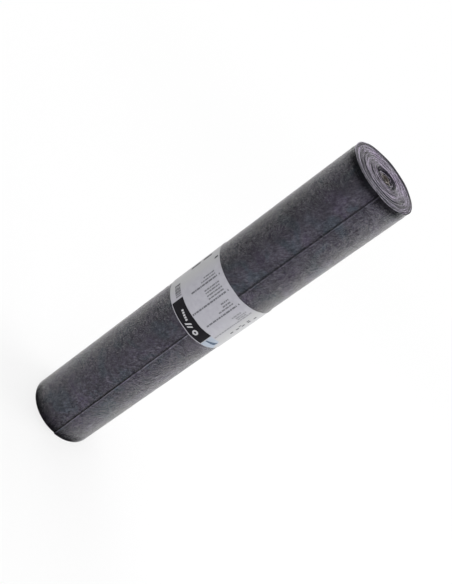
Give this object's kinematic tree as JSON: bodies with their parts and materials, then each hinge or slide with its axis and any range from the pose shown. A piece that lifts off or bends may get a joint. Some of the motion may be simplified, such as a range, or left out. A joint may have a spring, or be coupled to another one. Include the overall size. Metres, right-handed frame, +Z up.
{
  "type": "roll of protective felt",
  "caption": "Coreless roll of grey protective floor felt, closed by a printed paper band round its middle that slides off over the end.",
  "frame": {"origin": "on the floor, under the middle of the standing roll's outline", "axes": "+Z up along the roll; -Y is the front, which the picture sees, and +X is to its right"},
  "size_m": [0.1766, 0.1764, 1],
  "materials": {
    "felt": "matte",
    "band_paper": "satin",
    "adhesive": "satin"
  },
  "bodies": {
    "roll": {"felt_web": "felt"},
    "band": {"label_band": "band_paper", "band_glue": "adhesive"}
  },
  "joints": [
    {"name": "band_slide", "type": "slide", "parent": "roll", "child": "band", "axis": [0, 0, 1], "range_m": [-0.45, 0.56]}
  ]
}
